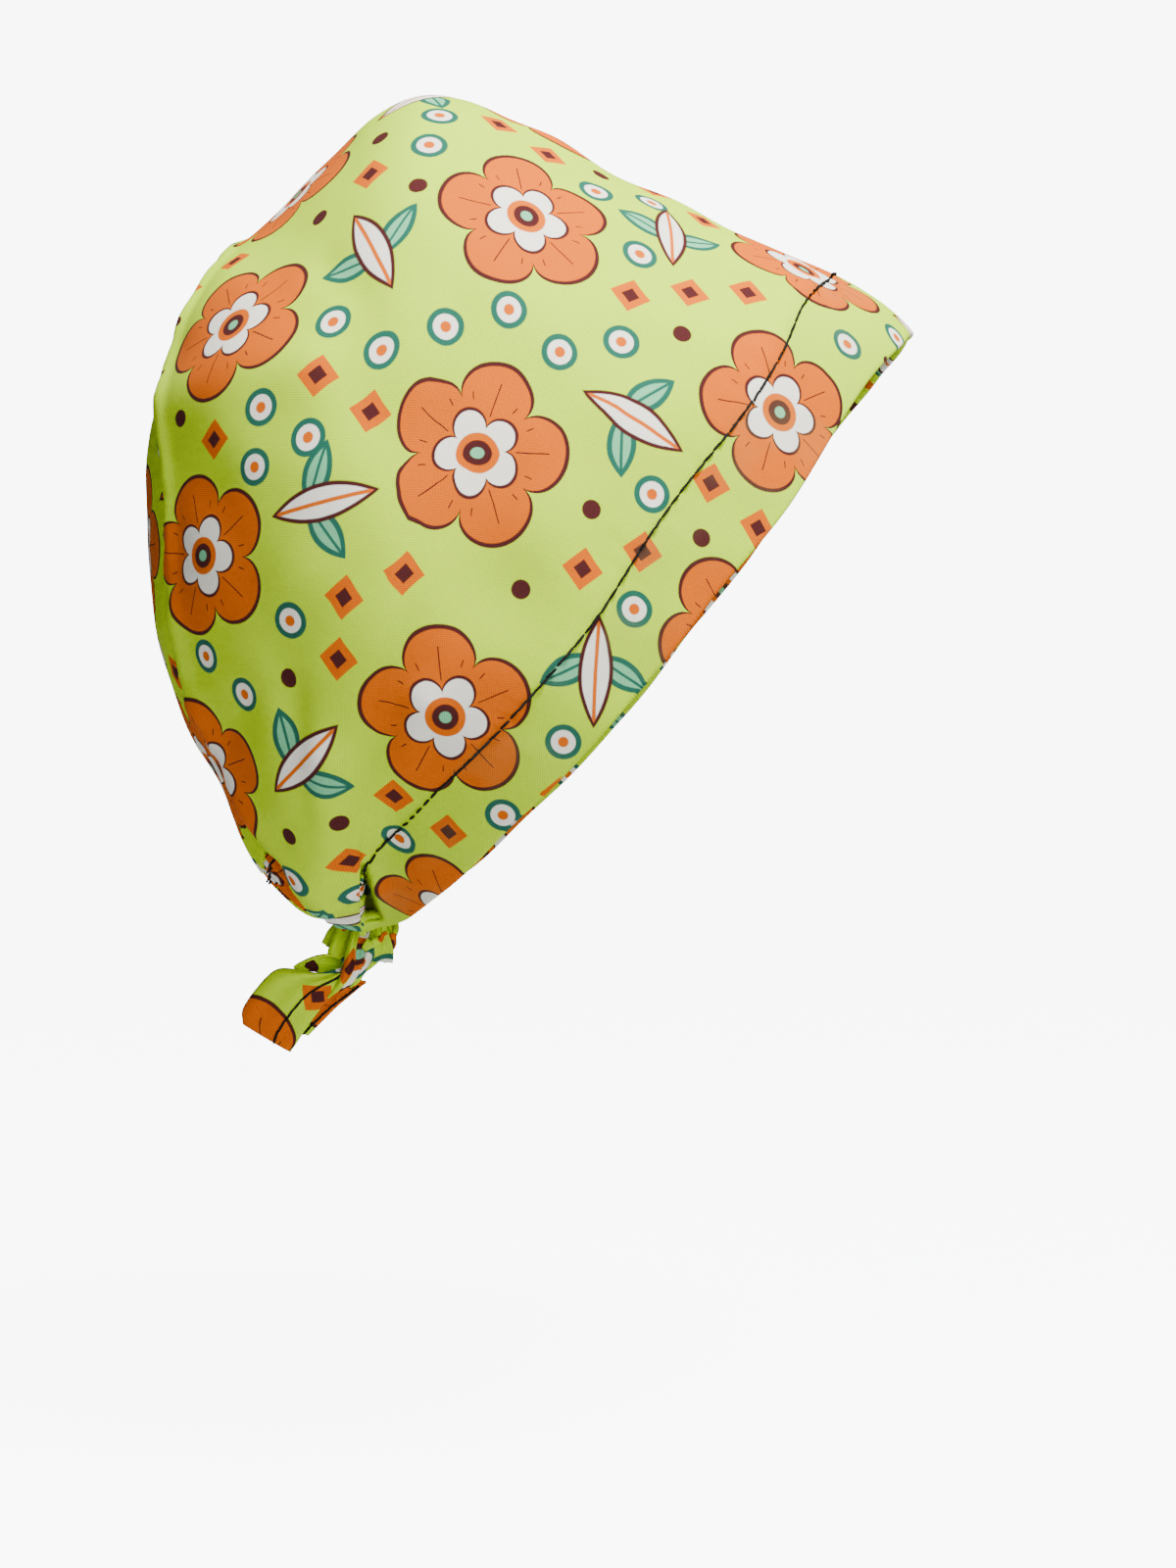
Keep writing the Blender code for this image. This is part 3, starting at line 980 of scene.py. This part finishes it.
def chance(cell, seed):
    """A number from 0 to 1 that is a cell's own."""
    own = vector_calc("ADD", cell, (0.5, 0.5, seed))
    return add("TexWhiteNoise", own, noise_dimensions="3D")["Value"]


# %% Colours and sizes of the print
LIME = (0.53, 0.80, 0.004)
ORANGE = (0.64, 0.118, 0.0)
CREAM = (0.90, 0.87, 0.76)
BROWN = (0.066, 0.014, 0.014)
TEAL = (0.016, 0.115, 0.075)
PALE_TEAL = (0.16, 0.50, 0.26)
patch_scale = 60.0
patch_shade = 0.90
full_turn = 6.283
flower_cell = (0.058, 0.050)
flower_seed = 1.0
flower_room = 0.0215
flower_reach = 0.0180
petals = 5
PETALS = ("COSINE", 0.55, 0.64, 1.00)
INNER_PETALS = ("SINE", 0.70, 0.30, 0.50)
petal_line = 0.0009
inner_line = 0.0007
veins = 15
vein_width = 0.0009
vein_start = 0.0016
vein_end = 0.0042
FLOWER_MIDDLE = ((0.0040, ORANGE), (0.0026, BROWN), (0.0012, PALE_TEAL))
sprig_shift = (0.029, 0.0125)
sprig_seed = 7.0
sprig_room = 0.0125
leaf_edge = 0.04
# length, width, share of it that is filled, width and share of the rib, colours
SIDE_LEAF = (0.0066, 0.0030, 0.62, 0.0003, 0.7, (TEAL, PALE_TEAL, TEAL))
MIDDLE_LEAF = (0.0115, 0.0036, 0.76, 0.0004, 0.8, (BROWN, CREAM, ORANGE))
pair_place = 0.0030
pair_turn = math.radians(-62)
pair_reach = 0.0062
small_cell = 0.0115
small_seed = 3.0
ring_chance = 0.42
chance_edge = 0.001
dot_chance = 0.26
SMALL_MOTIFS = (
    # kind, reach, colour
    ("ring", 0.0037, TEAL),
    ("ring", 0.0025, CREAM),
    ("ring", 0.0011, ORANGE),
    ("diamond", 0.0042, ORANGE),
    ("diamond", 0.0019, BROWN),
    ("dot", 0.0019, BROWN),
)


# %% Motifs, each as layers that are pairs of a mask and a colour
def lobes(round_it, wave, roundness, least, most):
    """An edge that swells once a petal, between two shares of flower_reach."""
    lobe = calc("POWER", calc("ABSOLUTE", calc(wave, times(round_it, petals / 2))), roundness)
    return calc("MULTIPLY_ADD", lobe, (most - least) * flower_reach, least * flower_reach)


def flower(local, angle):
    x, y = split(turned(local, angle))
    out = vector_calc("LENGTH", local)
    round_it = calc("ARCTAN2", y, x)
    past_edge = calc("SUBTRACT", out, lobes(round_it, *PETALS))
    past_inner = calc("SUBTRACT", out, lobes(round_it, *INNER_PETALS))
    vein = times(calc("ABSOLUTE", calc("SINE", times(round_it, veins / 2))), out)
    on_petal = times(below(past_edge, -vein_end), below(times(past_inner, -1.0), -vein_start))
    return (
        (below(past_edge, 0.0), BROWN),
        (below(past_edge, -petal_line), ORANGE),
        (times(below(vein, vein_width), on_petal), BROWN),
        (below(past_inner, 0.0), BROWN),
        (below(past_inner, -inner_line), CREAM),
        *((below(out, reach), tint) for reach, tint in FLOWER_MIDDLE),
    )


def leaf(local, length, width, filled, rib_width, rib_end, tints):
    """A pointed leaf: its edge, its filling and its rib."""
    x, y = split(local)
    across = calc("ABSOLUTE", y)
    bent = calc("POWER", calc("ABSOLUTE", calc("DIVIDE", x, length)), 2.0)
    out = calc("ADD", calc("DIVIDE", across, width), bent)
    rib = times(below(across, rib_width), below(out, rib_end, leaf_edge))
    return zip((below(out, 1.0, leaf_edge), below(out, filled, leaf_edge), rib), tints)


def sprig(local, angle):
    """One cream leaf over a pair of teal ones."""
    place = turned(local, angle)
    x, y = split(place)
    mirrored = join(calc("ADD", x, pair_place), calc("ABSOLUTE", y))
    side = vector_calc("SUBTRACT", turned(mirrored, pair_turn), (pair_reach, 0, 0))
    return (*leaf(side, *SIDE_LEAF), *leaf(place, *MIDDLE_LEAF))


def small_motifs(local, chosen):
    """Rings, diamonds or dots, by the cell's chance."""
    x, y = split(local)
    out = vector_calc("LENGTH", local)
    diamond = calc("ADD", calc("ABSOLUTE", x), calc("ABSOLUTE", y))
    is_ring = below(chosen, ring_chance, chance_edge)
    not_dot = below(chosen, 1 - dot_chance, chance_edge)
    kinds = {
        "ring": (is_ring, out),
        "diamond": (calc("SUBTRACT", not_dot, is_ring), diamond),
        "dot": (calc("SUBTRACT", 1.0, not_dot), out),
    }
    return [(times(kinds[kind][0], below(kinds[kind][1], reach)), tint)
            for kind, reach, tint in SMALL_MOTIFS]


# %% The print's layers over the lime ground
def layered(colour, layers):
    for mask, tint in layers:
        colour = mixed(mask, colour, tint)
    return colour


def clear_of(centre, room, shift=(0.0, 0.0)):
    """1 where a small motif's centre is further than a room from the larger motif."""
    place, number = lattice(centre, *flower_cell, shift)
    return calc("GREATER_THAN", vector_calc("LENGTH", place), room)


def printed(cloth):
    """The print's colour at a place of the cloth's map."""
    patchy = noise_value(cloth, patch_scale)
    colour = mixed(patchy, LIME, tuple(patch_shade * part for part in LIME))
    small, number = lattice(cloth, small_cell, small_cell)
    centre = vector_calc("SUBTRACT", cloth, small)
    room = times(clear_of(centre, flower_room), clear_of(centre, sprig_room, sprig_shift))
    motifs = small_motifs(small, chance(number, small_seed))
    colour = layered(colour, [(times(mask, room), tint) for mask, tint in motifs])
    local, number = lattice(cloth, *flower_cell, sprig_shift)
    colour = layered(colour, sprig(local, times(chance(number, sprig_seed), full_turn)))
    local, number = lattice(cloth, *flower_cell)
    return layered(colour, flower(local, times(chance(number, flower_seed), full_turn)))


# %% [markdown]
# ## Weave
# A plain weave is two sets of threads that take turns on top. Two sine waves across each other
# give the right light and dark cells at 0.42 mm. The same height drives the bump, and the threads
# are slightly uneven, as spun cotton is. In the hem the cloth lies double, with the layer inside
# showing through in patches, and the band's colour is made a shade darker. Deep in the tunnel at
# the nape the colour is darkened much more, as painted shade.

# %% Printed cotton
thread_pitch = 0.00042
thread_scale = 350.0
thread_wobble = 2.5
weave_depth = 0.00006
weave_shade = 0.80
weave_light = 0.34
weave_bump = 0.6
ghost_scale = 75.0
ghost_edge = (0.44, 0.07)
ghost_share = 0.08
GHOST = (0.40, 0.36, 0.14)
hem_darker_share = 0.16
HEM_DARKER_TINT = (0.48, 0.56, 0.45)
# The colour of the painted shade deep in the nape's tunnel.
PAINTED_TUNNEL_SHADE = (0.10, 0.08, 0.06)


def cotton(name, hem=False):
    material, shader = start_material(name)
    cloth = add("UVMap", uv_map="cloth")[0]
    wobble = times(noise_value(cloth, thread_scale), thread_wobble)
    turn = math.pi / thread_pitch
    warp, weft = [calc("SINE", calc("MULTIPLY_ADD", part, turn, wobble)) for part in split(cloth)]
    weave = times(calc("ABSOLUTE", warp), calc("ABSOLUTE", weft))
    colour = printed(cloth)
    if hem:
        band = mask_value("hem_band")
        ghost = times(below(noise_value(cloth, ghost_scale, 1.0), *ghost_edge), band)
        colour = mixed(times(ghost, ghost_share), colour, GHOST)
        # The hem band's colour is made a shade darker all over.
        colour = mixed(times(band, hem_darker_share), colour, HEM_DARKER_TINT, "MULTIPLY")
        # Painted shade: the hem's colour is darkened deep in the nape's tunnel, where shade falls.
        colour = mixed(mask_value("painted_tunnel_shade"), colour, PAINTED_TUNNEL_SHADE, "MULTIPLY")
    shade = calc("MULTIPLY_ADD", weave, weave_light, weave_shade)
    relief = {"Strength": weave_bump, "Distance": weave_depth, "Height": weave}
    feed(shader, {
        "Base Color": mixed(1.0, colour, join(shade, shade, shade), "MULTIPLY"),
        "Roughness": 0.82,
        "Specular IOR Level": 0.05,
        "Sheen Weight": 0.02,
        "Sheen Roughness": 0.45,
        "Normal": add("Bump", at=relief)[0],
    })
    return material


panel_cotton = cotton("panel_cotton", hem=True)
plain_cotton = cotton("back_cotton")


def dress(item, material, slot, *nodes):
    """Gives a piece its material and its body, and hides the nodes that it stands for. The slot is
    not used.
    """
    item.data.materials.clear()
    item.data.materials.append(material)
    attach(item, "root")
    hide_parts(*nodes)


dress(front_panel, panel_cotton, "panel_cotton", "front_panel", "hem_layer")
dress(back_panel, plain_cotton, "panel_cotton", "back_panel")
dress(nape_casing, plain_cotton, "panel_cotton", "nape_casing")
dress(knot, plain_cotton, "tie_cotton", "tie_knot")
for name, strip in strips.items():
    dress(strip, plain_cotton, "tie_cotton", name)

# %% [markdown]
# ## Black stitching
# The hem is held up by a line of black top-stitching, and the casing by another. A dark line in
# the material would lie flat, but real stitches are short raised threads that dip into the cloth
# at each end. So one stitch is modelled, and a copy of it is laid at even steps along each line.

# %% One stitch
stitch_length = 0.0034
stitch_step = 0.0029
stitch_thickness = 0.00058
stitch_bluntness = 0.6
stitch_sink = 0.06
stitch_lift = 0.00020
stitch_lean = 0.10
lean_step = 0.37
look_ahead = 0.0005
bpy.ops.object.select_all(action="DESELECT")
bpy.ops.mesh.primitive_uv_sphere_add(segments=8, ring_count=8, radius=0.5)
bpy.ops.transform.rotate(value=math.radians(90), orient_axis="Y", center_override=(0, 0, 0))
bpy.ops.object.transform_apply(rotation=True)
stitch = bpy.context.object
STITCH_POINTS = np.array([vert.co for vert in stitch.data.vertices])
from_axis = 2 * np.linalg.norm(STITCH_POINTS[:, 1:], axis=1)[:, None]
STITCH_POINTS[:, 1:] /= np.maximum(from_axis, 0.01) ** stitch_bluntness
STITCH_POINTS = STITCH_POINTS * (stitch_length, stitch_thickness, stitch_thickness)
STITCH_POINTS[:, 2] -= stitch_sink * np.abs(STITCH_POINTS[:, 0]) ** 2 / stitch_length
STITCH_FACES = sorted(tuple(face.vertices) for face in stitch.data.polygons)
bpy.data.objects.remove(stitch)


def line_on(surface, across, row, step=0.05):
    """Points along one row of a surface, and the surface's normals there."""
    across, rows = np.meshgrid(across, [row, row + step])
    points, above = surface(across, rows)
    return points, unit(np.cross(np.gradient(points, axis=0), above - points))


def stitch_line(name, points, normals):
    """Stitches at even steps along a smooth line of points, each lying along the line."""
    lengths = np.linalg.norm(np.diff(points, axis=0), axis=-1)
    at = np.concatenate([[0], np.cumsum(lengths)])
    count = round(at[-1] / stitch_step)
    middles = (np.arange(count) + 0.5) * at[-1] / count

    def read(values, places):
        return np.stack([np.interp(places, at, values[:, k]) for k in range(3)], axis=-1)

    place = read(points, middles)
    ahead = unit(read(points, middles + look_ahead) - place)
    side = unit(np.cross(read(normals, middles), ahead))
    out = np.cross(ahead, side)
    long, wide, high = STITCH_POINTS.T[..., None]
    long = long * at[-1] / count / stitch_step
    verts, faces = [], []
    for index in range(count):
        lean = stitch_lean * noise.noise(Vector((index * lean_step, 0.5, 0.5)))
        along = ahead[index] + lean * side[index]
        first = len(verts) * len(STITCH_POINTS)
        verts.append(place[index] + long * along + wide * side[index]
                     + (high + stitch_lift) * out[index])
        faces.extend(tuple(corner + first for corner in face) for face in STITCH_FACES)
    mesh = bpy.data.meshes.new(name)
    mesh.from_pydata(np.concatenate(verts).tolist(), [], faces)
    mesh.validate()
    item = bpy.data.objects.new(name, mesh)
    bpy.context.collection.objects.link(item)
    mesh.shade_smooth()
    print(name, count, "stitches")
    return item


# %% Stitch lines
LINE_PLACES = 900
hem_line_row = (inner_rows + turn_rows + hem_rows - 1) / FRONT_ROWS
hem_line_step = 2 / FRONT_ROWS
hem_line_end = -0.0692
casing_line_row = 0.90
casing_line_margin = 0.07
tail_line_start = 0.1
TAIL_LINES = {"tail_right": 0.66, "tail_left": 0.90}
around = np.linspace(0, 1, LINE_PLACES)
points, normals = line_on(front_surface, around, hem_line_row, hem_line_step)
around = around[points[:, 2] > hem_line_end]
around = np.linspace(around[0], around[-1], LINE_PLACES)
stitched = [stitch_line("hem_stitches", *line_on(
    front_surface, around, hem_line_row, hem_line_step))]
across = np.linspace(casing_line_margin, 1 - casing_line_margin, LINE_PLACES)
stitched.append(stitch_line("casing_stitches", *line_on(casing_surface, across, casing_line_row)))
along = np.linspace(tail_line_start, 1, LINE_PLACES)
for name, row in TAIL_LINES.items():
    stitched.append(stitch_line(name + "_stitches", *line_on(tie_surface(TIES[name]), along, row)))

# %% Black thread
lint_scale = 1800.0
thread_paint, shader = start_material("black_thread")
lint = noise_value(add("TexCoord")["Object"], lint_scale)
feed(shader, {
    "Base Color": mixed(lint, (0.002, 0.002, 0.002), (0.018, 0.018, 0.016)),
    "Roughness": 0.75,
    "Specular IOR Level": 0.08,
})
for item in stitched:
    item.data.materials.append(thread_paint)
    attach(item, "root")

# %% [markdown]
# ## Floor, light and camera
# The cap floats as on a head, over a pale floor that curves up behind it, so that no horizon
# shows. It glows for the camera alone, because the photo's backdrop is burnt out to white and a
# floor as bright as that would light the cap from below. One large light stands high at the
# front, and a weaker one fills the low side of the hem.

# %% Floor
FLOOR_HEIGHT = -0.193
floor_size = 8
backdrop_height = 5
cove_radius = 2.0
cove_segments = 24
floor_glow = 8.5
bpy.ops.mesh.primitive_plane_add(size=floor_size, location=(0, 0, FLOOR_HEIGHT))
floor = bpy.context.object
floor.name = "floor"
bpy.ops.object.mode_set(mode="EDIT")
edit = bmesh.from_edit_mesh(floor.data)
for edge in edit.edges:
    edge.select = all(vert.co.y > 0 for vert in edge.verts)
bmesh.update_edit_mesh(floor.data)
bpy.ops.mesh.extrude_region_move(TRANSFORM_OT_translate={"value": (0, 0, backdrop_height)})
bpy.ops.object.mode_set(mode="OBJECT")
bend = floor.modifiers.new("cove", "BEVEL")
bend.width = cove_radius
bend.segments = cove_segments
bpy.ops.object.modifier_apply(modifier="cove")
bpy.ops.object.shade_smooth()
floor_paint, shader = start_material("floor_paint")
feed(shader, {
    "Base Color": (0.42, 0.43, 0.44, 1),
    "Roughness": 0.9,
    "Emission Color": (0.97, 0.985, 1.0, 1),
    "Emission Strength": times(add("LightPath")["Is Camera Ray"], floor_glow),
})
floor.data.materials.append(floor_paint)

# %% Lights
SKY_STRENGTH = 0.40
world = bpy.data.worlds.new("studio")
bpy.context.scene.world = world
world.use_nodes = True
sky = world.node_tree.nodes["Background"]
sky.inputs[0].default_value = (0.95, 0.97, 1.0, 1)
sky.inputs[1].default_value = SKY_STRENGTH


def area_light(name, place, aim, size, power):
    light = bpy.data.lights.new(name, "AREA")
    light.shape = "DISK"
    light.size = size
    light.energy = power
    item = bpy.data.objects.new(name, light)
    bpy.context.collection.objects.link(item)
    item.location = place
    item.rotation_euler = (Vector(aim) - Vector(place)).to_track_quat("-Z", "Y").to_euler()


area_light("key", (0.34, -0.52, 1.02), (0, 0, 0.02), 0.4, 50)
area_light("front_fill", (0.60, -1.30, -0.02), (0, 0, -0.03), 0.8, 14)

# %% Camera
CAMERA_PLACE = (0.0132, -0.62, -0.0473)
camera_lens = 63.4
camera_data = bpy.data.cameras.new("camera")
camera = bpy.data.objects.new("camera", camera_data)
bpy.context.collection.objects.link(camera)
camera.location = CAMERA_PLACE
camera.rotation_euler = (math.radians(90), 0, 0)
camera_data.sensor_fit = "VERTICAL"
camera_data.sensor_height = 36
camera_data.lens = camera_lens
bpy.context.scene.camera = camera
